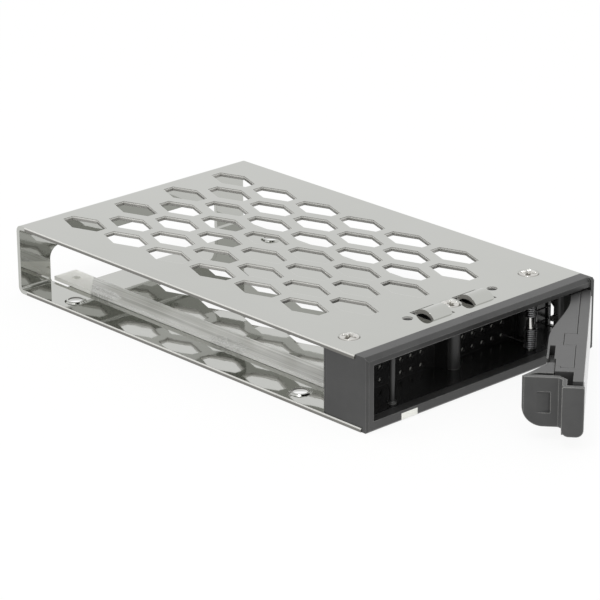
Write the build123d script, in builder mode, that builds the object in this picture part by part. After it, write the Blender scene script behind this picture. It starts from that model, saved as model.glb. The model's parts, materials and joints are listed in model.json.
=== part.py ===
from build123d import *
from math import cos, sin, radians
import os

os.makedirs("parts", exist_ok=True)

# The drive that the caddy carries: its width and the holes in its underside
drive_w = 69.85
drive_hole_x = 61.72
drive_hole_y = 76.6
drive_screw_r = 1.7
drive_room = 14.9
side_room = 0.225

# Folded sheet: base, rear wall and top plate, measured from the top plate's front edge
sheet_t = 1.0
sheet_w = drive_w + 2 * side_room
sheet_h = drive_room + 2 * sheet_t
bend_r = 1.6
plate_len = 113.4
first_hole = 20.97
front = -(drive_hole_y / 2 + first_hole)
rear = front + plate_len
base_lead = 2.0
base_front = front - base_lead
under_top = sheet_h - sheet_t

# Perforation
hex_w = 7.5
hex_len = 12.4
hex_flat = 3.0
hex_pitch = 15.0
column_pitch = 15.5
hex_rows = 6
outer_rows_mid = 65.2
inner_rows_mid = 57.8
base_rows = 5
base_rows_mid = 57.8

# Rear cutout for the drive's connector
cut_half_w = 26.3
cut_top = 9.4
cut_r = 3.0
notch_front = 106.2

# Raised rims round the four drive screws, with room for the screw heads below
rim_h = 0.35
rim_foot_r = 2.55
rim_top_r = 2.15
head_room_r = 2.9
head_room_h = 1.0

# Bezel, as wide as the sheet less a step at each side
bezel_step = 0.25
bezel_w = sheet_w - 2 * bezel_step
bezel_lead = 3.75
bezel_depth = 10.5
strip_rise = 0.1
bezel_top = sheet_h + strip_rise
strip_bevel = 0.9
corner_bevel = 0.5
rear_corner_r = 1.8
left_wall = 1.9
right_wall = 0.9
opening_left = left_wall - bezel_w / 2
opening_right = bezel_w / 2 - right_wall
ear_lead = 4.1
floor_t = 1.4
floor_z = sheet_t + floor_t
roof_t = 0.9
ceiling_z = under_top - roof_t
wall_front = 9.0
seam = 0.05
post_r = 2.2
centre_post_x = 0.45
centre_post_y = 5.7
centre_post_r = 1.55
centre_post_foot = 2.6
vent_r = 0.55
vent_pitch_x = 3.1
vent_pitch_z = 3.05
vent_xs = (-12.3, 13.1)
vent_columns = 5
vent_rows = 4
vent_low_z = 3.85
peg_in = 9.8
peg_x = opening_left + peg_in
peg_y = 0.75
peg_top_r = 0.7
peg_foot_r = 0.55
peg_flange_r = 1.0
peg_flange_h = 0.4

# Screws that tie the sheet to the bezel's three posts
left_screw_in = 6.3
right_screw_in = 8.1
centre_screw_x = 0.6
side_screw_y = 8.2
centre_screw_y = 7.0
screw_xs = (left_screw_in - bezel_w / 2, centre_screw_x, bezel_w / 2 - right_screw_in)
screw_ys = (side_screw_y, centre_screw_y, side_screw_y)
screw_r = 1.0
screw_head_r = 2.5
screw_play = 0.02
head_dome = 0.25
top_screw_end = 8.6
bottom_screw_end = 6.6
recess_w = 0.7
recess_l = 3.0
recess_d = 0.9
recess_taper = 8.0

# Two bowed contact fingers beside the centre screw, and two locating pips
finger_xs = (-6.0, 7.0)
finger_front = 2.6
finger_l = 5.7
finger_w = 5.8
finger_slot = 0.75
finger_rear_slot = 1.0
finger_rise = 1.5
pip_xs = (-12.3, 13.9)
pip_y = 7.1
pip_hole_r = 1.2
pip_r = 1.1
pip_h = 0.5

# Light guide, stuck to the base
glue_t = 0.05
guide_in = 12.5
guide_x = guide_in - bezel_w / 2
guide_w = 6.5
guide_t = 0.95
guide_neck_w = 4.8
guide_neck_t = 0.75
guide_nose_low = 0.3
guide_end = 111.9
guide_play = 0.05
guide_hole_r = 1.0
guide_hole_y = 107.5
guide_low = sheet_t + glue_t

# Ejector lever, swung about the hinge; a runs out along it and b across it
open_angle = 40.0
hinge_in = 2.8
hinge_x = opening_right - hinge_in
hinge_y = 2.4
hinge_r = 0.75
hinge_play = 0.05
seat_play = 0.02
collar_r = 1.3
collar_play = 0.1
barrel_r = 1.45
under_lever = 0.9
over_lever = 0.5
lever_low = floor_z + under_lever
lever_high = ceiling_z - over_lever
lever_wall = 1.2
face_b = 6.8
seam_b = 4.55
body_end = 48.8
body_step = 0.8
tongue_notch = 44.0
cap_end = 50.9
cover_end = 56.0
cover_start = 2.9
cover_heel = 1.4
lug_start = 29.4
lug_end = 36.0
lug_b = 1.9
part_gap = 0.12
rim_b = 0.75
back_b = -1.3
shoulder_a = 0.9
belly_a = 32.5
waist_a = 20.9
waist_b = 0.6
neck_a = 10.0
neck_b = 2.5
throat_a = 3.0
throat_b = 1.6
hollow_start = 13.0
hollow_start_b = 3.5
hollow_skin = 1.4
hollow_turn = 29.0
hollow_b = 1.2
hollow_end = 46.8
cover_hollow_d = 1.0
trim_t = 0.25
trim_start = 6.0
trim_margin = 0.1

# Ejector tooth on the barrel, and its window in the bezel's right wall
tooth_reach = 5.2
tooth_angle = 200.0
tooth_half_w = 0.9
tooth_root_half_w = 1.2
tooth_low = 8.9
tooth_high = 13.4
window_y0 = 1.7
window_y1 = 8.5
window_low = 2.6
window_high = 13.9
window_bar_z = 4.3
window_bar_t = 0.5

# Release latch: root, curved wing, finger plate, web and end plate
latch_travel = 1.0
under_latch = 0.6
over_latch = 0.95
latch_low = floor_z + under_latch
latch_high = ceiling_z - over_latch
plate_in = 52.2
plate_out = 53.3
plate_b0 = -5.9
plate_edge = 0.4
wing_a = 46.0
wing_curve = 0.15
wing_inner_b = -2.9
web_a = 54.1
web_b = 2.5
web_t = 1.0
plate_b1 = 1.7
end_in = 57.3
end_out = 58.4
end_b0 = 2.5
end_b1 = 7.15
finger_corner_r = 4.5
end_corner_r = 1.6
end_top_r = 0.4
mark_b0 = -2.9
mark_b1 = 0.0
mark_low = 6.1
mark_high = 10.7
mark_d = 0.6
tongue_b0 = -0.8
tongue_b1 = 0.3
tongue_start = 37.6
tongue_low = 5.4
tongue_high = 12.6
root_a = 45.2
root_b = 0.6
root_end = 50.8
slot_play = 0.05
latch_pin_r = 0.8
latch_pin_a = 39.4
latch_pin_b1 = 3.9
latch_mid_z = 9.0
latch_coil_b = 2.75
latch_coil_r = 1.0
latch_wire_r = 0.18
latch_coil_start = 31.2
latch_turns = 6

# Lever spring round its own pin, and the heel that its bridge pushes on
spring_in = 10.5
spring_x = hinge_x - spring_in
spring_y = 1.7
spring_pin_r = 0.925
wire_r = 0.2
coil_r = 1.27
coil_room = 0.35
coil_low = floor_z + coil_room
coil_gap = 2.9
coil_top = ceiling_z - coil_room
coil_turns = 9.75
bridge_reach = 7.7
bend_swell = 1.06
heel_reach = 3.1
heel_angle = -37.0
heel_half_w = 0.44
heel_root_half_w = 0.76
heel_h = 1.0

lever_plane = Plane(
    origin=(hinge_x, front + hinge_y, 0),
    x_dir=(-cos(radians(open_angle)), -sin(radians(open_angle)), 0),
    z_dir=(0, 0, 1),
)
cross_plane = Plane(origin=lever_plane.origin, x_dir=lever_plane.y_dir, z_dir=lever_plane.x_dir)
screw_spots = [(x, front + y) for x, y in zip(screw_xs, screw_ys)]

# One long hexagon of the perforation
with BuildSketch() as hexagon:
    Polygon(
        (-hex_flat / 2, -hex_len / 2),
        (hex_flat / 2, -hex_len / 2),
        (hex_w / 2, 0),
        (hex_flat / 2, hex_len / 2),
        (-hex_flat / 2, hex_len / 2),
        (-hex_w / 2, 0),
    )

# The folded sheet
with BuildPart() as tray_sheet:
    with BuildSketch(Plane.YZ):
        with BuildLine():
            outside = FilletPolyline(
                (base_front, 0), (rear, 0), (rear, sheet_h), (front, sheet_h), radius=bend_r
            )
            inside = FilletPolyline(
                (base_front, sheet_t),
                (rear - sheet_t, sheet_t),
                (rear - sheet_t, under_top),
                (front, under_top),
                radius=bend_r - sheet_t,
            )
            Line(outside @ 0, inside @ 0)
            Line(outside @ 1, inside @ 1)
        make_face()
    extrude(amount=sheet_w / 2, both=True)
    # connector cutout through the rear wall, the bend and the rear of the base
    with BuildSketch(Plane.XZ.offset(-(front + notch_front))):
        cut_h = cut_top + 2 * cut_r
        with Locations((0, cut_top - cut_h / 2)):
            RectangleRounded(2 * cut_half_w, cut_h, cut_r)
    extrude(amount=-(plate_len - notch_front + sheet_t), mode=Mode.SUBTRACT)
    # long hexagons in the top plate and in the base
    with BuildSketch(Plane.XY.offset(sheet_h)):
        with Locations((0, front + outer_rows_mid)):
            with GridLocations(column_pitch, hex_pitch, 4, hex_rows):
                add(hexagon.sketch)
        with Locations((0, front + inner_rows_mid)):
            with GridLocations(column_pitch, hex_pitch, 3, hex_rows):
                add(hexagon.sketch)
        with Locations(*[(x, front + pip_y) for x in pip_xs]):
            Circle(pip_hole_r)
        with Locations(*[(x, front + finger_front) for x in finger_xs]):
            Rectangle(
                finger_w + 2 * finger_slot,
                finger_l + finger_rear_slot,
                align=(Align.CENTER, Align.MIN),
            )
    extrude(amount=-sheet_t, mode=Mode.SUBTRACT)
    with BuildSketch(Plane.XY):
        with Locations((0, front + base_rows_mid)):
            with GridLocations(column_pitch, hex_pitch, 2, base_rows):
                add(hexagon.sketch)
    extrude(amount=sheet_t, mode=Mode.SUBTRACT)
    # bowed fingers, joined to the plate at their front ends
    for x in finger_xs:
        with BuildSketch(Plane.YZ.offset(x - finger_w / 2)):
            y0 = front + finger_front
            y1 = y0 + finger_l
            ym = (y0 + y1) / 2
            with BuildLine():
                crown = ThreePointArc((y0, sheet_h), (ym, sheet_h + finger_rise), (y1, sheet_h))
                hollow = ThreePointArc(
                    (y0, under_top), (ym, under_top + finger_rise), (y1, under_top)
                )
                Line(crown @ 0, hollow @ 0)
                Line(crown @ 1, hollow @ 1)
            make_face()
        extrude(amount=finger_w)
    # rims that lift the drive, each over a recess for the screw head
    with Locations((0, 0, sheet_t)):
        with GridLocations(drive_hole_x, drive_hole_y, 2, 2):
            Cone(rim_foot_r, rim_top_r, rim_h, align=(Align.CENTER, Align.CENTER, Align.MIN))
    with GridLocations(drive_hole_x, drive_hole_y, 2, 2):
        Cone(
            head_room_r,
            drive_screw_r,
            head_room_h,
            align=(Align.CENTER, Align.CENTER, Align.MIN),
            mode=Mode.SUBTRACT,
        )
        Cylinder(
            drive_screw_r,
            sheet_t + rim_h,
            align=(Align.CENTER, Align.CENTER, Align.MIN),
            mode=Mode.SUBTRACT,
        )
    # countersinks for the bezel screws
    with Locations(*[(x, y, sheet_h) for x, y in screw_spots]):
        CounterSinkHole(screw_r + screw_play, screw_head_r + screw_play, depth=3 * sheet_t)
    with Locations(*[Location((x, y, 0), (180, 0, 0)) for x, y in screw_spots]):
        CounterSinkHole(screw_r + screw_play, screw_head_r + screw_play, depth=3 * sheet_t)

# The bezel moulding
with BuildPart() as bezel:
    with BuildSketch(Plane.YZ):
        with BuildLine():
            Polyline(
                (front + bezel_depth, sheet_t),
                (base_front - seam, sheet_t),
                (base_front - seam, 0),
                (front - bezel_lead + corner_bevel, 0),
                (front - bezel_lead, corner_bevel),
                (front - bezel_lead, bezel_top - strip_bevel),
                (front - bezel_lead + strip_bevel, bezel_top),
                (front - seam, bezel_top),
                (front - seam, under_top),
                (front + bezel_depth, under_top),
                close=True,
            )
        make_face()
    extrude(amount=bezel_w / 2, both=True)
    fillet(bezel.edges().filter_by(Axis.Z).group_by(Axis.Y)[-1], radius=rear_corner_r)
    chamfer(bezel.edges().filter_by(Axis.Z).group_by(Axis.Y)[0], length=corner_bevel)
    # ear at the right end, level with the face of the shut lever
    with BuildSketch(Plane.YZ.offset(opening_right)):
        with BuildLine():
            Polyline(
                (front, sheet_t),
                (base_front - seam, sheet_t),
                (base_front - seam, 0),
                (front - ear_lead + corner_bevel, 0),
                (front - ear_lead, corner_bevel),
                (front - ear_lead, bezel_top - corner_bevel),
                (front - ear_lead + corner_bevel, bezel_top),
                (front - seam, bezel_top),
                (front - seam, ceiling_z),
                (front, ceiling_z),
                close=True,
            )
        make_face()
    extrude(amount=right_wall)
    # cavity behind the front opening
    with BuildSketch(Plane.XY.offset(floor_z)):
        opening_w = opening_right - opening_left
        opening_mid = (opening_right + opening_left) / 2
        with Locations((opening_mid, front + wall_front)):
            Rectangle(opening_w, wall_front + ear_lead, align=(Align.CENTER, Align.MAX))
    extrude(amount=ceiling_z - floor_z, mode=Mode.SUBTRACT)
    # screw posts against the back wall
    with BuildSketch(Plane.XY.offset(floor_z)):
        with Locations(screw_spots[0], screw_spots[2]):
            Circle(post_r)
        with Locations((centre_post_x, front + centre_post_y)):
            Circle(centre_post_r)
        Polygon(
            (centre_post_x - centre_post_r, front + centre_post_y),
            (centre_post_x + centre_post_r, front + centre_post_y),
            (centre_post_x + centre_post_foot, front + wall_front),
            (centre_post_x - centre_post_foot, front + wall_front),
            align=None,
        )
    extrude(amount=ceiling_z - floor_z)
    # thin peg that the latch closes beside
    with Locations((peg_x, front + peg_y, floor_z)):
        Cone(
            peg_foot_r,
            peg_top_r,
            ceiling_z - floor_z,
            align=(Align.CENTER, Align.CENTER, Align.MIN),
        )
        Cylinder(peg_flange_r, peg_flange_h, align=(Align.CENTER, Align.CENTER, Align.MIN))
    # collars above and below the lever's barrel
    with Locations((hinge_x, front + hinge_y, floor_z)):
        Cylinder(
            collar_r,
            lever_low - collar_play - floor_z,
            align=(Align.CENTER, Align.CENTER, Align.MIN),
        )
    with Locations((hinge_x, front + hinge_y, lever_high + collar_play)):
        Cylinder(
            collar_r,
            ceiling_z - lever_high - collar_play,
            align=(Align.CENTER, Align.CENTER, Align.MIN),
        )
    # locating pips in the top plate's small holes
    with Locations(*[(x, front + pip_y, under_top) for x in pip_xs]):
        Cylinder(pip_r, pip_h, align=(Align.CENTER, Align.CENTER, Align.MIN))
    # vents through the back wall
    with BuildSketch(Plane.XZ.offset(-(front + wall_front))):
        vents_mid_z = vent_low_z + vent_pitch_z * (vent_rows - 1) / 2
        with Locations(*[(x, vents_mid_z) for x in vent_xs]):
            with GridLocations(vent_pitch_x, vent_pitch_z, vent_columns, vent_rows):
                Circle(vent_r)
    extrude(amount=-(bezel_depth - wall_front), mode=Mode.SUBTRACT)
    # channel under the floor for the light guide, and the opening for its nose
    with BuildSketch(Plane.XZ.offset(-(front + bezel_depth))):
        with Locations((guide_x, sheet_t)):
            Rectangle(
                guide_neck_w + 2 * guide_play,
                glue_t + guide_neck_t + guide_play,
                align=(Align.CENTER, Align.MIN),
            )
    extrude(amount=bezel_depth + bezel_lead, mode=Mode.SUBTRACT)
    with BuildSketch(Plane.XZ.offset(-(base_front - seam))):
        with Locations((guide_x, guide_nose_low - guide_play)):
            Rectangle(
                guide_neck_w + 2 * guide_play,
                guide_low + guide_neck_t - guide_nose_low + 2 * guide_play,
                align=(Align.CENTER, Align.MIN),
            )
    extrude(amount=bezel_lead - base_lead, mode=Mode.SUBTRACT)
    # window in the right wall for the ejector tooth, with one bar across it
    with BuildSketch(Plane.YZ.offset(opening_right)):
        window_mid = front + (window_y0 + window_y1) / 2
        with Locations((window_mid, (window_low + window_high) / 2)):
            Rectangle(window_y1 - window_y0, window_high - window_low)
        with Locations((window_mid, window_bar_z)):
            Rectangle(window_y1 - window_y0, window_bar_t, mode=Mode.SUBTRACT)
    extrude(amount=bezel_w / 2 - opening_right, mode=Mode.SUBTRACT)
    # seats of the two pins
    with Locations((hinge_x, front + hinge_y, (sheet_t + under_top) / 2)):
        Cylinder(hinge_r + seat_play, under_top - sheet_t, mode=Mode.SUBTRACT)
    with Locations((spring_x, front + spring_y, (sheet_t + under_top) / 2)):
        Cylinder(spring_pin_r + seat_play, under_top - sheet_t, mode=Mode.SUBTRACT)
    # screw holes
    with Locations(*[(x, y, sheet_h) for x, y in screw_spots]):
        CounterSinkHole(screw_r + screw_play, screw_head_r + screw_play, depth=sheet_h)
    with Locations(*[Location((x, y, 0), (180, 0, 0)) for x, y in screw_spots]):
        CounterSinkHole(screw_r + screw_play, screw_head_r + screw_play, depth=sheet_h)

# The clear strip that carries light along the base to the front
with BuildPart() as light_guide:
    with BuildSketch(Plane.XY.offset(guide_low)):
        with Locations((guide_x, front + guide_end)):
            Rectangle(
                guide_w,
                guide_end - bezel_depth - 2 * guide_play,
                align=(Align.CENTER, Align.MAX),
            )
    extrude(amount=guide_t)
    with BuildSketch(Plane.XY.offset(guide_low)):
        with Locations((guide_x, front - bezel_lead)):
            Rectangle(
                guide_neck_w,
                bezel_lead + bezel_depth + 4 * guide_play,
                align=(Align.CENTER, Align.MIN),
            )
    extrude(amount=guide_neck_t)
    with BuildSketch(Plane.XY.offset(guide_nose_low)):
        with Locations((guide_x, front - bezel_lead)):
            Rectangle(
                guide_neck_w,
                bezel_lead - base_lead - 2 * seam,
                align=(Align.CENTER, Align.MIN),
            )
    extrude(amount=guide_low + guide_neck_t - guide_nose_low)
    with Locations((guide_x, front + guide_hole_y, guide_low)):
        Cylinder(
            guide_hole_r,
            guide_t,
            align=(Align.CENTER, Align.CENTER, Align.MIN),
            mode=Mode.SUBTRACT,
        )

# Top screws with domed heads, drawn at the origin and set on each post
with BuildPart() as top_screw:
    with BuildSketch(Plane.XZ):
        with BuildLine():
            Polyline(
                (0, sheet_h + head_dome),
                (0, top_screw_end),
                (screw_r, top_screw_end),
                (screw_r, sheet_h - screw_head_r + screw_r),
                (screw_head_r, sheet_h),
            )
            TangentArc((0, sheet_h + head_dome), (screw_head_r, sheet_h), tangent=(1, 0))
        make_face()
    revolve(axis=Axis.Z)
    with BuildSketch(Plane.XY.offset(sheet_h + head_dome)):
        Rectangle(recess_l, recess_w)
        Rectangle(recess_w, recess_l)
    extrude(amount=-recess_d, taper=recess_taper, mode=Mode.SUBTRACT)

# Bottom screws, the same pattern from below
with BuildPart() as bottom_screw:
    Cone(
        screw_head_r,
        screw_r,
        screw_head_r - screw_r,
        align=(Align.CENTER, Align.CENTER, Align.MIN),
    )
    with Locations((0, 0, screw_head_r - screw_r)):
        Cylinder(
            screw_r,
            bottom_screw_end - screw_head_r + screw_r,
            align=(Align.CENTER, Align.CENTER, Align.MIN),
        )
    with BuildSketch(Plane.XY):
        Rectangle(recess_l, recess_w)
        Rectangle(recess_w, recess_l)
    extrude(amount=recess_d, taper=recess_taper, mode=Mode.SUBTRACT)

# Hinge pin and the pin that carries the lever spring
with BuildPart() as hinge_pin:
    with Locations((hinge_x, front + hinge_y, (sheet_t + under_top) / 2)):
        Cylinder(hinge_r, under_top - sheet_t)

with BuildPart() as spring_pin:
    with Locations((spring_x, front + spring_y, (sheet_t + under_top) / 2)):
        Cylinder(spring_pin_r, under_top - sheet_t)

# Double torsion spring: two coils of opposite hand, each with a leg to the back wall, and the
# bridge between them that reaches over to the lever's heel
with BuildPart() as lever_spring:
    coil_h = (coil_top - coil_low - coil_gap) / 2
    coil_axis = Axis((spring_x, front + spring_y, 0), (0, 0, 1))
    for coil_foot, lower in ((coil_low, True), (coil_top - coil_h, False)):
        with BuildLine(mode=Mode.PRIVATE):
            turns = Helix(
                coil_h / coil_turns,
                coil_h,
                coil_r,
                center=(spring_x, front + spring_y, coil_foot),
                lefthand=lower,
            )
        turns = turns if lower else turns.rotate(coil_axis, 90)
        with BuildSketch(Plane(turns @ 0, z_dir=turns % 0)):
            Circle(wire_r)
        sweep(path=turns, is_frenet=True)
        leg = turns @ 0 if lower else turns @ 1
        bridge_foot = turns @ 1 if lower else turns @ 0
        bridge_end = bridge_foot + Vector(bridge_reach, 0, 0)
        with Locations(leg, bridge_foot, bridge_end):
            Sphere(wire_r * bend_swell)
        with BuildSketch(Plane(leg, z_dir=(0, 1, 0))):
            Circle(wire_r)
        extrude(amount=wall_front - spring_y)
        with BuildSketch(Plane(bridge_foot, z_dir=(1, 0, 0))):
            Circle(wire_r)
        extrude(amount=bridge_reach)
    with BuildSketch(Plane(bridge_end, z_dir=(0, 0, -1))):
        Circle(wire_r)
    extrude(amount=coil_gap)

# Inner moulding of the lever with its barrel, tooth and heel
with BuildPart() as lever_body:
    with BuildSketch(lever_plane.offset(lever_low)):
        Circle(barrel_r)
        with BuildLine():
            Polyline(
                (0, 0),
                (0, barrel_r),
                (shoulder_a, seam_b),
                (body_end, seam_b),
                (body_end, lug_b),
                (body_end - body_step, lug_b),
                (body_end - body_step, rim_b),
                (tongue_notch, rim_b),
                (tongue_notch, back_b),
                (belly_a, back_b),
            )
            Spline((belly_a, back_b), (waist_a, waist_b), (neck_a, neck_b), (throat_a, throat_b))
            Line((throat_a, throat_b), (0, 0))
        make_face()
    extrude(amount=lever_high - lever_low)
    # hollow, open towards the cover
    with BuildSketch(lever_plane.offset(lever_low + lever_wall)):
        with BuildLine():
            Polyline(
                (hollow_start, seam_b),
                (hollow_start, hollow_start_b),
                (waist_a, waist_b + hollow_skin),
                (hollow_turn, hollow_b),
                (hollow_end, hollow_b),
                (hollow_end, seam_b),
                close=True,
            )
        make_face()
    extrude(amount=lever_high - lever_low - 2 * lever_wall, mode=Mode.SUBTRACT)
    # wall and spigot that the latch spring pushes from
    with BuildSketch(lever_plane.offset(lever_low + lever_wall)):
        with Locations((latch_coil_start, hollow_b)):
            Rectangle(lever_wall, seam_b - hollow_b, align=(Align.MAX, Align.MIN))
    extrude(amount=lever_high - lever_low - 2 * lever_wall)
    # channel for the latch tongue, open on top
    with BuildSketch(lever_plane.offset(tongue_low - slot_play)):
        slot_a0 = tongue_start - latch_travel - 2 * slot_play
        with Locations(((slot_a0 + body_end) / 2, (tongue_b0 + tongue_b1) / 2)):
            Rectangle(body_end - slot_a0, tongue_b1 - tongue_b0 + 2 * slot_play)
    extrude(amount=lever_high - tongue_low + slot_play, mode=Mode.SUBTRACT)
    # window for the latch pin between channel and hollow
    with BuildSketch(lever_plane.offset(latch_mid_z - latch_pin_r - slot_play)):
        pin_run = latch_travel + 2 * latch_pin_r + 4 * slot_play
        with Locations((latch_pin_a - latch_travel / 2, tongue_b0)):
            Rectangle(pin_run, hollow_b - tongue_b0, align=(Align.CENTER, Align.MIN))
    extrude(amount=2 * latch_pin_r + 2 * slot_play, mode=Mode.SUBTRACT)
    # step for the cover's lug
    with BuildSketch(lever_plane.offset(lever_high - lever_wall)):
        with Locations(((lug_start + lug_end) / 2, (lug_b + seam_b) / 2)):
            Rectangle(lug_end - lug_start, seam_b - lug_b)
    extrude(amount=lever_wall, mode=Mode.SUBTRACT)
    # tooth that works through the bezel's side window
    with BuildSketch(lever_plane.offset(tooth_low)):
        with Locations(Location((0, 0), tooth_angle)):
            Polygon(
                (0, -tooth_root_half_w),
                (tooth_reach - tooth_half_w, -tooth_half_w),
                (tooth_reach, -tooth_half_w / 2),
                (tooth_reach, tooth_half_w / 2),
                (tooth_reach - tooth_half_w, tooth_half_w),
                (0, tooth_root_half_w),
                align=None,
            )
    extrude(amount=tooth_high - tooth_low)
    # heel that the spring's bridge pushes on
    with BuildSketch(lever_plane.offset((coil_low + coil_top - coil_gap - heel_h) / 2)):
        with Locations(Location((0, 0), heel_angle)):
            Polygon(
                (0, -heel_root_half_w),
                (heel_reach, -heel_half_w),
                (heel_reach, heel_half_w),
                (0, heel_root_half_w),
                align=None,
            )
    extrude(amount=heel_h)
    # bore for the hinge pin
    with Locations((hinge_x, front + hinge_y, (lever_low + lever_high) / 2)):
        Cylinder(hinge_r + hinge_play, lever_high - lever_low, mode=Mode.SUBTRACT)

# Outer shell of the lever
with BuildPart() as lever_cover:
    with BuildSketch(lever_plane.offset(lever_low)):
        with BuildLine():
            Polyline(
                (cover_heel, seam_b + part_gap),
                (cover_start, face_b),
                (cover_end, face_b),
                (cover_end, seam_b + part_gap),
                (cap_end, seam_b + part_gap),
                (cap_end, rim_b),
                (body_end - body_step + part_gap, rim_b),
                (body_end - body_step + part_gap, lug_b - part_gap),
                (body_end + part_gap, lug_b - part_gap),
                (body_end + part_gap, seam_b + part_gap),
                close=True,
            )
        make_face()
    extrude(amount=lever_high - lever_low)
    # hollow inner side, clear of the rim
    with BuildSketch(lever_plane.offset(lever_low + lever_wall)):
        with Locations((hollow_start, seam_b + part_gap)):
            Rectangle(
                hollow_end - hollow_start, cover_hollow_d, align=(Align.MIN, Align.MIN)
            )
    extrude(amount=lever_high - lever_low - 2 * lever_wall, mode=Mode.SUBTRACT)
    # lug that laps over the body
    with BuildSketch(lever_plane.offset(lever_high - lever_wall + part_gap)):
        with Locations(((lug_start + lug_end) / 2, (lug_b + seam_b) / 2 + part_gap)):
            Rectangle(lug_end - lug_start - 2 * part_gap, seam_b - lug_b)
    extrude(amount=lever_wall - part_gap)

# Bright strip on the outer face
with BuildPart() as lever_trim:
    with BuildSketch(lever_plane.offset(lever_low + trim_margin)):
        with Locations(((trim_start + cover_end) / 2, face_b + trim_t / 2)):
            Rectangle(cover_end - trim_start, trim_t)
    extrude(amount=lever_high - lever_low - 2 * trim_margin)

# Release latch
with BuildPart() as release_latch:
    with BuildSketch(lever_plane.offset(latch_low)):
        with BuildLine():
            wing = SagittaArc((wing_a, back_b), (plate_out - plate_edge, plate_b0), wing_curve)
            Polyline(
                wing @ 1,
                (plate_out, plate_b0 + plate_edge),
                (plate_out, plate_b1),
                (web_a, web_b),
                (end_in, end_b0),
                (end_out, end_b0),
                (end_out, end_b1),
                (end_in, end_b1),
                (end_in, end_b0 + web_t),
                (web_a, web_b + web_t),
                (plate_in, plate_b1),
                (plate_in, plate_b0 + web_t),
                (root_end, wing_inner_b),
                (root_end, root_b),
                (root_a, root_b),
                (root_a, back_b),
                wing @ 0,
            )
        make_face()
    extrude(amount=latch_high - latch_low)
    # wide round on the wing's and the finger plate's lower inner corner
    with BuildSketch(cross_plane.offset(root_a)):
        with Locations((plate_b0, latch_low)):
            Rectangle(finger_corner_r, finger_corner_r, align=(Align.MIN, Align.MIN))
        with Locations((plate_b0 + finger_corner_r, latch_low + finger_corner_r)):
            Circle(finger_corner_r, mode=Mode.SUBTRACT)
    extrude(amount=plate_out - root_a, mode=Mode.SUBTRACT)
    # rounded corners of the end plate
    with BuildSketch(cross_plane.offset(end_in)):
        with Locations(((end_b0 + end_b1) / 2, (latch_low + latch_high) / 2)):
            Rectangle(end_b1 - end_b0, latch_high - latch_low)
            RectangleRounded(
                end_b1 - end_b0, latch_high - latch_low, end_top_r, mode=Mode.SUBTRACT
            )
        with Locations((end_b0, latch_low)):
            Rectangle(end_b1 - end_b0, end_corner_r, align=(Align.MIN, Align.MIN))
        with Locations((end_b0 + end_corner_r, latch_low + end_corner_r)):
            Circle(end_corner_r, mode=Mode.SUBTRACT)
        with Locations((end_b1 - end_corner_r, latch_low + end_corner_r)):
            Circle(end_corner_r, mode=Mode.SUBTRACT)
        with Locations(((end_b0 + end_b1) / 2, latch_low)):
            Rectangle(
                end_b1 - end_b0 - 2 * end_corner_r,
                end_corner_r,
                align=(Align.CENTER, Align.MIN),
                mode=Mode.SUBTRACT,
            )
    extrude(amount=end_out - end_in, mode=Mode.SUBTRACT)
    # tongue that runs back into the lever
    with BuildSketch(lever_plane.offset(tongue_low)):
        with Locations(((tongue_start + root_a) / 2, (tongue_b0 + tongue_b1) / 2)):
            Rectangle(root_a - tongue_start, tongue_b1 - tongue_b0)
    extrude(amount=tongue_high - tongue_low)
    # ramped thumb mark in the finger plate
    with BuildSketch(lever_plane.offset(mark_low)):
        with BuildLine():
            Polyline(
                (plate_out, mark_b0),
                (plate_out, mark_b1),
                (plate_out - mark_d, mark_b1),
                close=True,
            )
        make_face()
    extrude(amount=mark_high - mark_low, mode=Mode.SUBTRACT)
    # hole for the cross pin
    with Locations(
        lever_plane
        * Location((latch_pin_a, (tongue_b0 + tongue_b1) / 2, latch_mid_z), (90, 0, 0))
    ):
        Cylinder(latch_pin_r + seat_play, tongue_b1 - tongue_b0, mode=Mode.SUBTRACT)

# Cross pin that keeps the latch in its channel
with BuildPart() as latch_pin:
    with Locations(
        lever_plane
        * Location((latch_pin_a, (tongue_b0 + latch_pin_b1) / 2, latch_mid_z), (90, 0, 0))
    ):
        Cylinder(latch_pin_r, latch_pin_b1 - tongue_b0)

# Spring behind the cross pin
with BuildPart() as latch_spring:
    coil_l = latch_pin_a - latch_pin_r - latch_coil_start - 2 * latch_wire_r
    coil_seat = lever_plane.from_local_coords(
        Vector(latch_coil_start + latch_wire_r, latch_coil_b, latch_mid_z)
    )
    with BuildLine():
        turns = Helix(
            coil_l / latch_turns,
            coil_l,
            latch_coil_r,
            center=coil_seat,
            direction=lever_plane.x_dir,
        )
    with BuildSketch(Plane(turns @ 0, z_dir=turns % 0)):
        Circle(latch_wire_r)
    sweep(is_frenet=True)

# Every piece, labelled and written out
tray_sheet.part.label = "tray_sheet"
export_step(tray_sheet.part, "parts/tray_sheet.step")
bezel.part.label = "bezel"
export_step(bezel.part, "parts/bezel.step")
light_guide.part.label = "light_guide"
export_step(light_guide.part, "parts/light_guide.step")
hinge_pin.part.label = "hinge_pin"
export_step(hinge_pin.part, "parts/hinge_pin.step")
spring_pin.part.label = "spring_pin"
export_step(spring_pin.part, "parts/spring_pin.step")
lever_spring.part.label = "lever_spring"
export_step(lever_spring.part, "parts/lever_spring.step")
lever_body.part.label = "lever_body"
export_step(lever_body.part, "parts/lever_body.step")
lever_cover.part.label = "lever_cover"
export_step(lever_cover.part, "parts/lever_cover.step")
lever_trim.part.label = "lever_trim"
export_step(lever_trim.part, "parts/lever_trim.step")
release_latch.part.label = "release_latch"
export_step(release_latch.part, "parts/release_latch.step")
latch_pin.part.label = "latch_pin"
export_step(latch_pin.part, "parts/latch_pin.step")
latch_spring.part.label = "latch_spring"
export_step(latch_spring.part, "parts/latch_spring.step")
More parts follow.
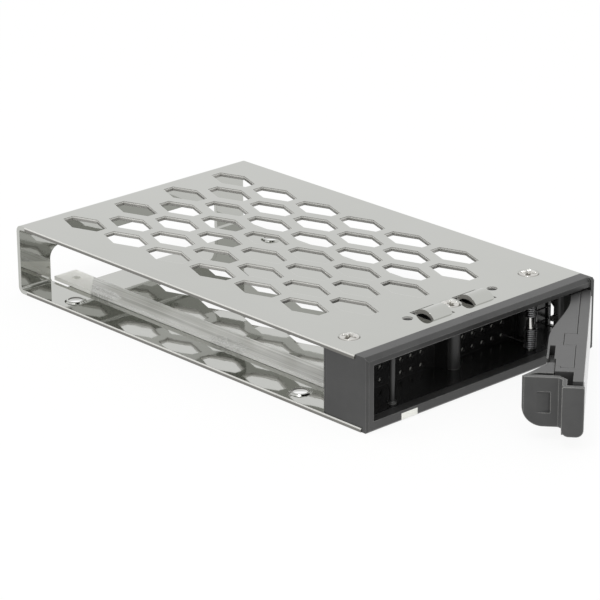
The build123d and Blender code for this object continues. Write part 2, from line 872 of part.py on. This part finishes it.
for name, (x, y) in zip(("left", "centre", "right"), screw_spots):
    for prefix, screw in (("top_screw_", top_screw), ("bottom_screw_", bottom_screw)):
        placed = Pos(x, y, 0) * screw.part
        placed.label = prefix + name
        export_step(placed, "parts/" + prefix + name + ".step")
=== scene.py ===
import json
import math

import bmesh
import bpy
from mathutils import Matrix, Vector


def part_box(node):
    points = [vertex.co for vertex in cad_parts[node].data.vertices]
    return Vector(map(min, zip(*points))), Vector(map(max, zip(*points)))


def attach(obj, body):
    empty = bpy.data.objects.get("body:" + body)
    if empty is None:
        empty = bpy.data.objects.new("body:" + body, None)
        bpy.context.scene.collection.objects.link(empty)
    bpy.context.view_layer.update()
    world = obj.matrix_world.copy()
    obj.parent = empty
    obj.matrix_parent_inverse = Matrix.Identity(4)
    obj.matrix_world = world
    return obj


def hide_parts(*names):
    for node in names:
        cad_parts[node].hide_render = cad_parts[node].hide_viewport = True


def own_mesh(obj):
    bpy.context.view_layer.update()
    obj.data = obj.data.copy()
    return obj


MM = 0.001

# The camera that fits the photograph, worked out in millimetres from the tray
CAMERA_AT = (-431.77 * MM, -469.13 * MM, 245.9 * MM)
CAMERA_AZIMUTH = math.radians(-42.943)
CAMERA_ELEVATION = math.radians(20.812)
CAMERA_ROLL = math.radians(-0.351)
PICTURE_WIDTH = 600
FOCAL_PIXELS = 2963.3
SENSOR_MM = 36.0

# The tray's top plate starts here, and the bezel hangs in front of it
PLATE_FRONT = -59.27 * MM

# Light guide: frosted behind a slanting line, and two patches of squeezed-out glue
FROST_SLANT = 1.06
FROST_LINE = PLATE_FRONT + 125.57 * MM
FROST_EDGE = 0.3 * MM
NOSE_END = PLATE_FRONT + 9.0 * MM
GLUE_SPOTS = ((-24.4 * MM, PLATE_FRONT + 96.0 * MM), (-24.6 * MM, PLATE_FRONT + 51.0 * MM))
GLUE_HALF_LENGTH = 6.5 * MM
GLUE_CURL = 45
GLUE_HALF_WIDTH = 2.2 * MM
CLEAR_PALE = (0.97, 0.97, 0.94, 1)
CLEAR_DEEP = (0.66, 0.665, 0.63, 1)
FROST_PALE = (0.97, 0.97, 0.93, 1)
FROST_DEEP = (0.93, 0.93, 0.88, 1)
ACRYLIC_IOR = 1.49

# Sheared walls of the sheet: steeper than this, and in front of the rear fold
STEEP = 0.55
REAR_FOLD = 3.0 * MM

# Zones of a sheared wall, by height over the underside of the base or of the top plate; the
# burnished zone is lightened and made less metallic as a painted highlight along the top of the
# wall
PLATE_UNDERSIDE = 15.9 * MM
BURNISH_HIGHLIGHT_ABOVE = 0.5 * MM
BURNISH_HIGHLIGHT_FADE = 0.15 * MM
LIP_ABOVE = 0.86 * MM
LIP_FADE = 0.05 * MM

# Past this the wall is one of the sheet's two long edges, where the zones differ a little and the
# torn zone is painted darker as shade
SIDE_EDGE = 34.5 * MM
SIDE_BURNISH_HIGHLIGHT_RISE = 0.05 * MM

# Sheet colours
STEEL_DARK = (0.47, 0.475, 0.45, 1)
STEEL_BRIGHT = (0.52, 0.525, 0.50, 1)
TORN_DARK = (0.32, 0.315, 0.30, 1)
TORN_BRIGHT = (0.48, 0.475, 0.45, 1)
# Torn zone of the long side edges, darkened as painted shade
TORN_SIDE_SHADE = (0.24, 0.235, 0.22, 1)
# Burnished zone of a sheared wall, lightened as a painted highlight
BURNISH_HIGHLIGHT = (0.72, 0.715, 0.69, 1)
LIP = (0.22, 0.215, 0.20, 1)

# Bezel: the opening's floor and its vented back wall are smoother, and painted darker as shade
HOLLOW_START = PLATE_FRONT - 1.2 * MM
HOLLOW_FLOOR = 2.6 * MM
BACK_WALL = PLATE_FRONT + 8.8 * MM
VENT_MOUTH = PLATE_FRONT + 9.55 * MM
CENTRE_WEB_LEFT = -2.2 * MM
CENTRE_WEB_RIGHT = -1.15 * MM

# Moulding colours apart from the body of each piece
# Painted shade on the floor and back wall of the bezel's opening
HOLLOW_SHADE = (0.012, 0.012, 0.012, 1)
# Painted glints in the bores of the bezel's vents
VENT_BORE_GLINT = (0.34, 0.34, 0.32, 1)
# Painted highlight on the rounded edges of the mouldings
PAINTED_EDGE_HIGHLIGHT = (0.30, 0.30, 0.29, 1)
# Painted shade along the top and right of the thumb mark
PAINTED_MARK_SHADE = (0.004, 0.004, 0.004, 1)

# Lever's axes when open, and the thumb mark sunk into the finger plate of the latch
HINGE_X = 31.2 * MM
HINGE_Y = PLATE_FRONT + 2.4 * MM
LEVER_OPEN = math.radians(40)
MARK_OUT = (52.6 * MM, 53.28 * MM)
MARK_ACROSS = (-3.0 * MM, 0.02 * MM)
MARK_UP = (6.0 * MM, 10.75 * MM)
MARK_SHADE = 0.55 * MM

# Screw heads: a dome that rolls off into the countersink, and a cross recess
SCREW_RINGS = 44
SCREW_SPOKES = 120
SCREW_DOME = 0.25 * MM
SCREW_ROLL_OFF = 0.3 * MM
SCREW_SHANK = 1.0 * MM
RECESS_DEPTH = 1.0 * MM
RECESS_ARM_WALL = (0.30 * MM, 0.62 * MM)
RECESS_ARM_END = (1.3 * MM, 1.9 * MM)
RECESS_PIT = (0.3 * MM, 1.0 * MM)
SUNK_SHADE = (0.13, 0.12, 0.10, 1)

# Bright strip on the lever
SILVER_PALE = (0.72, 0.72, 0.72, 1)
SILVER_DEEP = (0.64, 0.64, 0.645, 1)

# Studio: a wide floor just under the part, an even world, and lamps with their
# names, places, side lengths in metres and powers in watts
FLOOR_HALF = 6.0
FLOOR_DROP = 0.1 * MM
FLOOR_DEEP = (0.88, 0.88, 0.88, 1)
FLOOR_PALE = (0.90, 0.90, 0.90, 1)
FLOOR_GLOW = 0.9
WHITE = (1, 1, 1, 1)
WORLD_LIGHT = (1, 1, 0.985, 1)
LAMP_TARGET = (0, -0.02, 0.01)
LAMPS = (
    ("key_softbox", (-0.35, -0.2, 1.1), 0.9, 1.2),
    ("key_core", (-0.40, -0.16, 1.1), 0.2, 1.6),
    ("front_softbox", (-0.2, -1.2, 0.45), 0.7, 0.5),
)


class Nodes:
    """Builds one material's node tree."""

    def __init__(self, name):
        self.material = bpy.data.materials.new(name)
        self.material.use_nodes = True
        self.tree = self.material.node_tree
        self.tree.nodes.clear()

    def add(self, kind, inputs=None, **settings):
        node = self.tree.nodes.new(kind)
        for key, value in settings.items():
            setattr(node, key, value)
        for key, value in (inputs or {}).items():
            self.put(node, key, value)
        return node

    def put(self, node, key, value):
        socket = node.inputs[key]
        if isinstance(value, bpy.types.NodeSocket):
            self.tree.links.new(value, socket)
        else:
            socket.default_value = value

    def math(self, operation, a, b=0.0):
        node = self.add("ShaderNodeMath", {0: a, 1: b}, operation=operation)
        return node.outputs[0]

    def coordinate(self, name):
        return self.add("ShaderNodeTexCoord").outputs[name]

    def place(self):
        return self.coordinate("Object")

    def stretched(self, scale):
        mapping = self.add("ShaderNodeMapping", {"Vector": self.place(), "Scale": scale})
        return mapping.outputs["Vector"]

    def noise(self, scale, detail=4.0, rough=0.55, vector=None):
        vector = vector or self.place()
        node = self.add(
            "ShaderNodeTexNoise",
            {"Vector": vector, "Scale": scale, "Detail": detail, "Roughness": rough},
        )
        return node.outputs["Fac"]

    def span(self, value, low, high, to_low, to_high):
        node = self.add(
            "ShaderNodeMapRange",
            {
                "Value": value,
                "From Min": low,
                "From Max": high,
                "To Min": to_low,
                "To Max": to_high,
            },
        )
        return node.outputs["Result"]

    def mix_colour(self, factor, a, b):
        node = self.add("ShaderNodeMix", data_type="RGBA")
        self.put(node, "Factor", factor)
        self.put(node, 6, a)
        self.put(node, 7, b)
        return node.outputs[2]

    def surface(self, shader):
        output = self.add("ShaderNodeOutputMaterial")
        self.tree.links.new(shader, output.inputs["Surface"])
        return self.material


def rounded(n, radius, height=None, strength=0.0, distance=0.0):
    """A surface normal with softened edges, and a bump over it."""
    edge = n.add("ShaderNodeBevel", {"Radius": radius}, samples=6).outputs["Normal"]
    if height is None:
        return edge
    return n.add(
        "ShaderNodeBump",
        {"Height": height, "Normal": edge, "Strength": strength, "Distance": distance},
    ).outputs["Normal"]


def sheet_steel(rear):
    """Bright mill-finished stainless sheet with a faint grain, and dull sheared edges with a
    painted highlight along the top of each wall and painted shade on the torn zone of the long
    side edges.
    """
    n = Nodes("tray_steel")
    grain = n.noise(1.0, 3.0, 0.6, n.stretched((2600, 60, 2600)))
    cloud = n.noise(28, 3.0, 0.5)
    fleck = n.noise(900, 2.0, 0.5)
    tear = n.noise(1.0, 3.0, 0.6, n.stretched((3800, 3800, 500)))
    facing = n.add("ShaderNodeSeparateXYZ", {"Vector": n.coordinate("Normal")}).outputs["Z"]
    place = n.add("ShaderNodeSeparateXYZ", {"Vector": n.place()})
    steep = n.math("LESS_THAN", n.math("ABSOLUTE", facing), STEEP)
    front = n.math("LESS_THAN", place.outputs["Y"], rear - REAR_FOLD)
    sheared = n.math("MULTIPLY", steep, front)
    level = n.math("MODULO", place.outputs["Z"], PLATE_UNDERSIDE)
    outer = n.math("GREATER_THAN", n.math("ABSOLUTE", place.outputs["X"]), SIDE_EDGE)
    start = n.math("ADD", BURNISH_HIGHLIGHT_ABOVE, n.math("MULTIPLY", outer, SIDE_BURNISH_HIGHLIGHT_RISE))
    burnish_highlight = n.span(n.math("SUBTRACT", level, start), 0, BURNISH_HIGHLIGHT_FADE, 0, 1)
    bright = n.mix_colour(cloud, STEEL_DARK, STEEL_BRIGHT)
    lip = n.span(level, LIP_ABOVE, LIP_ABOVE + LIP_FADE, 0, 1)
    lip = n.math("MULTIPLY", lip, n.math("SUBTRACT", 1.0, outer))
    torn = n.mix_colour(tear, TORN_DARK, TORN_BRIGHT)
    # Painted shade: the torn zone of the long side edges is darker
    torn = n.mix_colour(outer, torn, TORN_SIDE_SHADE)
    # Painted highlight: the burnished zone is pale and less metallic, so the top of each sheared
    # wall shows a light line
    dull = n.mix_colour(burnish_highlight, torn, BURNISH_HIGHLIGHT)
    dull = n.mix_colour(lip, dull, LIP)
    scattering = n.math("MULTIPLY", n.math("MULTIPLY", burnish_highlight, sheared), 0.7)
    polish = n.math("ADD", n.span(grain, 0.3, 0.7, 0.015, 0.04), n.span(cloud, 0.4, 0.7, 0, 0.01))
    height = n.math("ADD", grain, n.math("MULTIPLY", fleck, 0.3))
    wavy = rounded(n, 0.15 * MM, n.noise(75, 2.0, 0.5), 1.0, 0.045 * MM)
    normal = n.add(
        "ShaderNodeBump",
        {"Height": height, "Normal": wavy, "Strength": 0.012, "Distance": 0.02 * MM},
    ).outputs["Normal"]
    shader = n.add(
        "ShaderNodeBsdfPrincipled",
        {
            "Base Color": n.mix_colour(sheared, bright, dull),
            "Metallic": n.math("SUBTRACT", 1.0, scattering),
            "Roughness": n.math("ADD", polish, n.math("MULTIPLY", sheared, 0.5)),
            "Normal": normal,
        },
    )
    return n.surface(shader.outputs[0])


def grey(value):
    return (value, value, value, 1)


def moulding(
    name,
    dark,
    pale,
    gloss_low,
    gloss_high,
    edge=0.28 * MM,
    hollow=None,
    edge_highlight=0.0,
    mark=None,
):
    """Black moulded plastic with a fine spark-eroded grain, rounded edges lightened as a painted
    highlight, painted shade in a thumb mark, and painted shade and glints in a hollow.
    """
    n = Nodes(name)
    grain = n.noise(5200, 3.0, 0.6)
    cloud = n.noise(90, 4.0, 0.6)
    colour = n.mix_colour(n.span(cloud, 0.35, 0.65, 0, 1), dark, pale)
    uneven = n.math("ADD", cloud, n.math("MULTIPLY", grain, 0.5))
    rough = n.span(uneven, 0.5, 1.0, gloss_low, gloss_high)
    shine = 0.6
    normal = rounded(n, edge, grain, 0.18, 0.03 * MM)
    # Painted highlight: rounded edges are lightened where the softened normal turns away from the
    # true normal
    if edge_highlight:
        soft = rounded(n, edge)
        true = n.add("ShaderNodeNewGeometry").outputs["True Normal"]
        turn = n.add("ShaderNodeVectorMath", {0: soft, 1: true}, operation="DOT_PRODUCT")
        rounding = n.span(turn.outputs["Value"], 0.99, 0.86, 0, edge_highlight)
        highlit = n.math("MULTIPLY", rounding, n.span(cloud, 0.3, 0.6, 0.5, 1))
        # Inside the thumb mark there is no painted edge highlight, and its top and right get
        # painted shade
        if mark:
            sunk, shade = mark(n)
            highlit = n.math("MULTIPLY", highlit, n.math("SUBTRACT", 1.0, sunk))
            colour = n.mix_colour(shade, colour, PAINTED_MARK_SHADE)
        # Painted highlight on the rounded edges
        colour = n.mix_colour(highlit, colour, PAINTED_EDGE_HIGHLIGHT)
    if hollow:
        inside, bore = hollow(n)
        # Painted shade in the bezel's opening
        colour = n.mix_colour(inside, colour, HOLLOW_SHADE)
        # Painted glints: the vent bores are lighter
        colour = n.mix_colour(bore, colour, VENT_BORE_GLINT)
        rough = n.math("SUBTRACT", rough, n.math("MULTIPLY", inside, 0.16))
        shine = n.span(inside, 0, 1, shine, 0.4)
    shader = n.add(
        "ShaderNodeBsdfPrincipled",
        {
            "Base Color": colour,
            "Roughness": rough,
            "Specular IOR Level": shine,
            "Normal": normal,
        },
    )
    return n.surface(shader.outputs[0])


def bezel_hollow(n):
    """Masks of the opening's floor and back wall, where shade is painted, and of the bores of its
    vents, where glints are painted.
    """
    place = n.add("ShaderNodeSeparateXYZ", {"Vector": n.place()})
    facing = n.add("ShaderNodeSeparateXYZ", {"Vector": n.coordinate("Normal")})
    deep = n.math("GREATER_THAN", place.outputs["Y"], BACK_WALL)
    low = n.math("LESS_THAN", place.outputs["Z"], HOLLOW_FLOOR)
    within = n.math("GREATER_THAN", place.outputs["Y"], HOLLOW_START)
    level = n.math("GREATER_THAN", facing.outputs["Z"], STEEP)
    floor = n.math("MULTIPLY", n.math("MULTIPLY", low, within), level)
    left_of_post = n.math("LESS_THAN", place.outputs["X"], CENTRE_WEB_RIGHT)
    right_of_web = n.math("GREATER_THAN", place.outputs["X"], CENTRE_WEB_LEFT)
    web = n.math("MULTIPLY", n.math("MULTIPLY", left_of_post, right_of_web), within)
    deep = n.math("MAXIMUM", deep, web)
    past = n.math("GREATER_THAN", place.outputs["Y"], VENT_MOUTH)
    side = n.math("LESS_THAN", n.math("ABSOLUTE", facing.outputs["Y"]), STEEP)
    return n.math("MAXIMUM", deep, floor), n.math("MULTIPLY", past, side)


def thumb_mark(n):
    """Mask of the mark in the finger plate, and of the shade along its top and right."""
    place = n.add("ShaderNodeSeparateXYZ", {"Vector": n.place()})
    x = n.math("SUBTRACT", place.outputs["X"], HINGE_X)
    y = n.math("SUBTRACT", place.outputs["Y"], HINGE_Y)
    cos, sin = math.cos(LEVER_OPEN), math.sin(LEVER_OPEN)
    out = n.math("ADD", n.math("MULTIPLY", x, -cos), n.math("MULTIPLY", y, -sin))
    across = n.math("ADD", n.math("MULTIPLY", x, sin), n.math("MULTIPLY", y, -cos))
    sunk = 1.0
    for value, limits in ((out, MARK_OUT), (across, MARK_ACROSS), (place.outputs["Z"], MARK_UP)):
        sunk = n.math("MULTIPLY", sunk, n.math("GREATER_THAN", value, limits[0]))
        sunk = n.math("MULTIPLY", sunk, n.math("LESS_THAN", value, limits[1]))
    right = n.span(across, MARK_ACROSS[1] - MARK_SHADE, MARK_ACROSS[1], 0, 1)
    top = n.span(place.outputs["Z"], MARK_UP[1] - MARK_SHADE, MARK_UP[1], 0, 1)
    return sunk, n.math("MULTIPLY", sunk, n.math("MAXIMUM", right, top))


def plated(name, colour, rough):
    """Bright plated steel with faint turning marks, dark where its mesh is marked as sunk."""
    n = Nodes(name)
    grain = n.noise(1.0, 2.0, 0.5, n.stretched((900, 900, 5200)))
    cloud = n.noise(420, 3.0, 0.5)
    tone = n.mix_colour(cloud, colour, tuple(0.86 * c for c in colour[:3]) + (1,))
    sunk = n.add("ShaderNodeAttribute", attribute_name="sunk").outputs["Fac"]
    tone = n.mix_colour(sunk, tone, SUNK_SHADE)
    shader = n.add(
        "ShaderNodeBsdfPrincipled",
        {
            "Base Color": tone,
            "Metallic": 1.0,
            "Roughness": n.span(grain, 0.3, 0.7, rough, rough + 0.08),
            "Normal": rounded(n, 0.1 * MM, grain, 0.05, 0.01 * MM),
        },
    )
    return n.surface(shader.outputs[0])


def clear_guide():
    """Clear acrylic strip, with flow lines along it, glue patches and frosted ends."""
    n = Nodes("clear_plastic")
    place = n.add("ShaderNodeSeparateXYZ", {"Vector": n.place()})
    across, along = place.outputs["X"], place.outputs["Y"]
    lines = n.noise(1.0, 3.0, 0.65, n.stretched((1500, 14, 700)))
    ripple = n.noise(620, 4.0, 0.6)
    slant = n.math("SUBTRACT", along, n.math("MULTIPLY", across, FROST_SLANT))
    rear = n.span(slant, FROST_LINE - FROST_EDGE, FROST_LINE + FROST_EDGE, 0, 1)
    nose = n.math("LESS_THAN", along, NOSE_END)
    glue = 0.0
    for spot_x, spot_y in GLUE_SPOTS:
        u = n.math("DIVIDE", n.math("SUBTRACT", across, spot_x), GLUE_HALF_WIDTH)
        v = n.math("DIVIDE", n.math("SUBTRACT", along, spot_y), GLUE_HALF_LENGTH)
        off = n.math("ADD", n.math("MULTIPLY", u, u), n.math("MULTIPLY", v, v))
        glue = n.math("MAXIMUM", glue, n.span(n.math("ADD", off, ripple), 1.2, 1.6, 1, 0))
    curls = n.math("MULTIPLY", n.math("SINE", n.math("MULTIPLY", ripple, GLUE_CURL)), glue)
    wave = n.math("ADD", n.math("MULTIPLY", lines, 0.6), curls)
    tone = n.math("ADD", n.span(lines, 0.40, 0.60, 0, 1), n.math("MULTIPLY", curls, 0.7))
    clear = n.add(
        "ShaderNodeBsdfPrincipled",
        {
            "Base Color": n.mix_colour(tone, CLEAR_PALE, CLEAR_DEEP),
            "Roughness": n.span(lines, 0.3, 0.7, 0.03, 0.16),
            "IOR": ACRYLIC_IOR,
            "Transmission Weight": 0.2,
            "Normal": rounded(n, 0.15 * MM, wave, 0.5, 0.12 * MM),
        },
    )
    frosted = n.add(
        "ShaderNodeBsdfPrincipled",
        {
            "Base Color": n.mix_colour(n.span(ripple, 0.35, 0.7, 0, 1), FROST_PALE, FROST_DEEP),
            "Roughness": 0.42,
            "Normal": rounded(n, 0.2 * MM, ripple, 0.1, 0.03 * MM),
        },
    )
    milky = n.math("MAXIMUM", rear, nose)
    both = n.add("ShaderNodeMixShader", {"Fac": milky, 1: clear.outputs[0], 2: frosted.outputs[0]})
    return n.surface(both.outputs[0])


def silver_trim():
    """Silver satin coat on the lever's bright strip."""
    n = Nodes("trim_silver")
    flake = n.noise(6500, 2.0, 0.7)
    cloud = n.noise(140, 3.0, 0.5)
    shader = n.add(
        "ShaderNodeBsdfPrincipled",
        {
            "Base Color": n.mix_colour(cloud, SILVER_PALE, SILVER_DEEP),
            "Metallic": 0.6,
            "Roughness": n.span(flake, 0.3, 0.7, 0.28, 0.42),
            "Normal": rounded(n, 0.15 * MM, flake, 0.08, 0.01 * MM),
        },
    )
    return n.surface(shader.outputs[0])


def floor_material():
    """Pale floor that stays white to the camera and keeps a soft shadow."""
    n = Nodes("studio_floor")
    path = n.add("ShaderNodeLightPath")
    seen = n.math(
        "MAXIMUM",
        path.outputs["Is Camera Ray"],
        n.math("MAXIMUM", path.outputs["Is Glossy Ray"], path.outputs["Is Transmission Ray"]),
    )
    speck = n.noise(60, 2.0, 0.5)
    diffuse = n.add(
        "ShaderNodeBsdfDiffuse",
        {"Color": n.mix_colour(speck, FLOOR_DEEP, FLOOR_PALE)},
    )
    glow = n.add("ShaderNodeEmission", {"Color": WHITE, "Strength": 1.0})
    both = n.add(
        "ShaderNodeMixShader",
        {
            "Fac": n.math("MULTIPLY", seen, FLOOR_GLOW),
            1: diffuse.outputs[0],
            2: glow.outputs[0],
        },
    )
    return n.surface(both.outputs[0])


def dress(frame, materials):
    """Gives every CAD node the material of its slot."""
    for part in frame["record"]["subparts"]:
        piece = frame["nodes"][part["node"]]
        piece.data.materials.clear()
        piece.data.materials.append(materials[part["material_slot"]])


def smooth(value, low, high):
    """0 below low, 1 above high, and a soft step between."""
    t = min(max((value - low) / (high - low), 0.0), 1.0)
    return t * t * (3 - 2 * t)


def screw_head(across, along, reach):
    """Height over the sheet of a domed head with a cross recess, and how sunk it is there."""
    radius = math.hypot(across, along)
    rim = smooth(radius, 0.8 * reach, 0.93 * reach)
    height = SCREW_DOME * (1 - (radius / reach) ** 2) - SCREW_ROLL_OFF * rim
    arm = 0.0
    for u, v in ((across, along), (along, across)):
        width = 1 - smooth(abs(v), *RECESS_ARM_WALL)
        length = 1 - smooth(abs(u), *RECESS_ARM_END)
        arm = max(arm, min(width, length) * (0.9 - 0.25 * abs(u) / reach))
    pit = 0.6 * (1 - smooth(radius, *RECESS_PIT))
    drop = max(arm, pit)
    return height - drop * RECESS_DEPTH, max(0.9 * rim, min(drop * drop * 1.3, 1.0))


def build_screws(names, turns, material):
    """Top screws with a formed head, each in place of its plain solid."""
    for name, turn in zip(names, turns):
        low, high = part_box(name)
        middle = (low + high) / 2
        reach = (high.x - low.x) / 2
        top = high.z - SCREW_DOME
        bm = bmesh.new()
        sunk = bm.verts.layers.float.new("sunk")

        def corner(radius, angle, z=None):
            x, y = radius * math.cos(angle), radius * math.sin(angle)
            u = x * math.cos(turn) + y * math.sin(turn)
            v = y * math.cos(turn) - x * math.sin(turn)
            height, depth = screw_head(u, v, reach)
            made = bm.verts.new((middle.x + x, middle.y + y, top + height if z is None else z))
            made[sunk] = depth if z is None else 1.0
            return made

        angles = [2 * math.pi * spoke / SCREW_SPOKES for spoke in range(SCREW_SPOKES)]
        centre = corner(0.0, 0.0)
        rings = []
        for ring in range(1, SCREW_RINGS + 1):
            rings.append([corner(reach * ring / SCREW_RINGS, angle) for angle in angles])
        for z in (top - reach + SCREW_SHANK, low.z):
            rings.append([corner(SCREW_SHANK, angle, z) for angle in angles])
        for spoke in range(SCREW_SPOKES):
            after = (spoke + 1) % SCREW_SPOKES
            bm.faces.new((centre, rings[0][spoke], rings[0][after]))
            for inner, outer in zip(rings, rings[1:]):
                bm.faces.new((inner[spoke], outer[spoke], outer[after], inner[after]))
        bm.faces.new(list(reversed(rings[-1])))
        for face in bm.faces:
            face.smooth = len(face.verts) == 4
        mesh = bpy.data.meshes.new(name + "_formed")
        bm.to_mesh(mesh)
        bm.free()
        mesh.materials.append(material)
        piece = bpy.data.objects.new(name + "_formed", mesh)
        bpy.context.scene.collection.objects.link(piece)
        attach(piece, "tray")
        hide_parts(name)


def build_latch_spring(frame, material):
    """The latch's coil spring, a copy of its solid that rides with the lever."""
    mesh = frame["nodes"]["latch_spring"].data.copy()
    mesh.materials.clear()
    mesh.materials.append(material)
    piece = bpy.data.objects.new("latch_spring_soft", mesh)
    bpy.context.scene.collection.objects.link(piece)
    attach(piece, "lever")
    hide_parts("latch_spring")
    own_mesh(piece)


def build_floor():
    """A wide flat floor just under the part."""
    half = FLOOR_HALF
    mesh = bpy.data.meshes.new("studio_floor")
    corners = [(-half, -half, 0), (half, -half, 0), (half, half, 0), (-half, half, 0)]
    mesh.from_pydata(corners, [], [(0, 1, 2, 3)])
    floor = bpy.data.objects.new("studio_floor", mesh)
    floor.location = (0, 0, -FLOOR_DROP)
    bpy.context.scene.collection.objects.link(floor)
    mesh.materials.append(floor_material())


def build_world():
    """White as it is seen directly and in reflections, and an even light otherwise."""
    world = bpy.data.worlds.new("studio")
    world.use_nodes = True
    tree = world.node_tree
    tree.nodes.clear()
    path = tree.nodes.new("ShaderNodeLightPath")
    glossy = tree.nodes.new("ShaderNodeMath")
    glossy.operation = "MAXIMUM"
    tree.links.new(path.outputs["Is Glossy Ray"], glossy.inputs[0])
    tree.links.new(path.outputs["Is Transmission Ray"], glossy.inputs[1])
    seen = tree.nodes.new("ShaderNodeMath")
    seen.operation = "MAXIMUM"
    tree.links.new(path.outputs["Is Camera Ray"], seen.inputs[0])
    tree.links.new(glossy.outputs[0], seen.inputs[1])
    light = tree.nodes.new("ShaderNodeBackground")
    light.inputs["Color"].default_value = WORLD_LIGHT
    light.inputs["Strength"].default_value = 1.0
    white = tree.nodes.new("ShaderNodeBackground")
    white.inputs["Color"].default_value = WHITE
    white.inputs["Strength"].default_value = 1.0
    mix = tree.nodes.new("ShaderNodeMixShader")
    tree.links.new(seen.outputs[0], mix.inputs["Fac"])
    tree.links.new(light.outputs[0], mix.inputs[1])
    tree.links.new(white.outputs[0], mix.inputs[2])
    output = tree.nodes.new("ShaderNodeOutputWorld")
    tree.links.new(mix.outputs[0], output.inputs["Surface"])
    bpy.context.scene.world = world


def softbox(name, at, look, size, watts):
    """A square lamp at one place, turned to another."""
    light = bpy.data.lights.new(name, "AREA")
    light.shape = "SQUARE"
    light.size = size
    light.energy = watts
    lamp = bpy.data.objects.new(name, light)
    lamp.location = at
    direction = Vector(look) - Vector(at)
    lamp.rotation_euler = direction.to_track_quat("-Z", "Y").to_euler()
    bpy.context.scene.collection.objects.link(lamp)


def build_lights():
    """A broad and a small lamp high at the left, and a lower one in front."""
    for name, at, size, watts in LAMPS:
        softbox(name, at, LAMP_TARGET, size, watts)


def build_camera():
    """The camera that took the photograph, from its place and its three angles."""
    camera = bpy.data.cameras.new("photo_camera")
    camera.sensor_width = SENSOR_MM
    camera.lens = FOCAL_PIXELS / PICTURE_WIDTH * SENSOR_MM
    camera.clip_start = 0.05
    camera.clip_end = 50.0
    eye = bpy.data.objects.new("photo_camera", camera)
    back = Vector(
        (
            math.sin(CAMERA_AZIMUTH) * math.cos(CAMERA_ELEVATION),
            -math.cos(CAMERA_AZIMUTH) * math.cos(CAMERA_ELEVATION),
            math.sin(CAMERA_ELEVATION),
        )
    )
    level = Vector((math.cos(CAMERA_AZIMUTH), math.sin(CAMERA_AZIMUTH), 0))
    upright = back.cross(level)
    right = level * math.cos(CAMERA_ROLL) + upright * math.sin(CAMERA_ROLL)
    up = upright * math.cos(CAMERA_ROLL) - level * math.sin(CAMERA_ROLL)
    eye.matrix_world = Matrix(
        (
            (right.x, up.x, back.x, CAMERA_AT[0]),
            (right.y, up.y, back.y, CAMERA_AT[1]),
            (right.z, up.z, back.z, CAMERA_AT[2]),
            (0, 0, 0, 1),
        )
    )
    bpy.context.scene.collection.objects.link(eye)
    bpy.context.scene.camera = eye


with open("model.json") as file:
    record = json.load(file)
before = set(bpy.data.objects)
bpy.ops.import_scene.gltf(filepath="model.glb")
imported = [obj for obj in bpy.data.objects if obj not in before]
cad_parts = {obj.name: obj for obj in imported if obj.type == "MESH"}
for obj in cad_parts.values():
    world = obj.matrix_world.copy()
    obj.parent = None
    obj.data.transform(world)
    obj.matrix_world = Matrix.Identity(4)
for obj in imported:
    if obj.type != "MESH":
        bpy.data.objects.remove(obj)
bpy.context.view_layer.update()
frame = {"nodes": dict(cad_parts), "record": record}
screw_steel = plated("screw_steel", (0.66, 0.65, 0.62, 1), 0.10)
spring_wire = plated("spring_wire", (0.34, 0.34, 0.345, 1), 0.26)

dress(
    frame,
    {
        "tray_steel": sheet_steel(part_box("tray_sheet")[1].y),
        "black_moulding": moulding(
            "black_moulding",
            grey(0.024),
            grey(0.038),
            0.3,
            0.44,
            hollow=bezel_hollow,
            edge_highlight=0.5,
        ),
        "lever_moulding": moulding(
            "lever_moulding",
            grey(0.046),
            grey(0.060),
            0.3,
            0.44,
            edge_highlight=0.4,
        ),
        "latch_moulding": moulding(
            "latch_moulding",
            grey(0.034),
            grey(0.050),
            0.28,
            0.42,
            edge=0.4 * MM,
            edge_highlight=1.0,
            mark=thumb_mark,
        ),
        "clear_plastic": clear_guide(),
        "screw_steel": screw_steel,
        "pin_steel": plated("pin_steel", (0.78, 0.77, 0.74, 1), 0.14),
        "spring_wire": spring_wire,
        "trim_silver": silver_trim(),
    },
)
build_screws(
    ("top_screw_left", "top_screw_centre", "top_screw_right"),
    (math.radians(20), math.radians(64), math.radians(38)),
    screw_steel,
)
build_latch_spring(frame, spring_wire)
build_floor()
build_world()
build_lights()
build_camera()
bpy.context.scene.view_settings.view_transform = "Standard"
